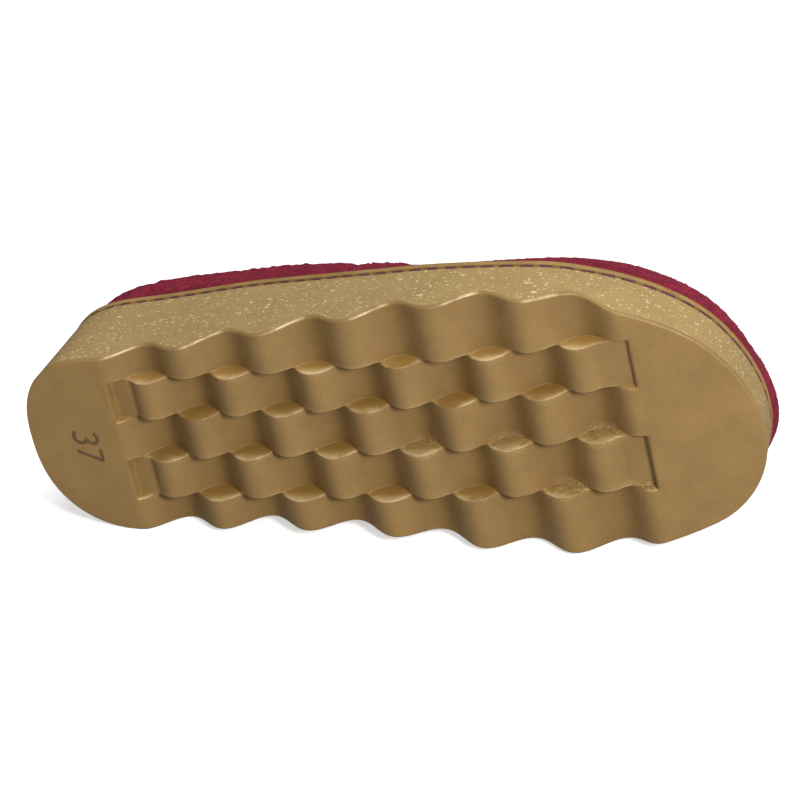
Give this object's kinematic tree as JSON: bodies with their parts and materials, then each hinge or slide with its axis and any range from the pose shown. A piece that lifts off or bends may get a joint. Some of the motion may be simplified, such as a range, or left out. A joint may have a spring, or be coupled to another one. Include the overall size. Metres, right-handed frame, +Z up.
{
  "type": "mule",
  "caption": "Closed-toe felt mule with a low rim at the open heel, a stitched welt and a one-piece wedge sole with staggered waves underneath, lying on its side.",
  "frame": {"origin": "centre of the bounding box in plan, on the floor that the shoe lies on", "axes": "+X from heel to toe, -Y out of the tread, +Z up to the shoe's outer side, away from the floor"},
  "size_m": [0.2502, 0.09, 0.0964],
  "materials": {
    "moulded_rubber": "light brown moulded rubber and cork mix, matt, side wall with pale and dark flecks",
    "brown_strip": "matt brown strip under the seam",
    "wool_felt": "thick dyed wool felt with a short nap",
    "grey_felt": "matt felt footbed"
  },
  "bodies": {
    "root": {"outsole": "moulded_rubber", "welt": "brown_strip", "upper": "wool_felt", "insole": "grey_felt"}
  },
  "joints": []
}
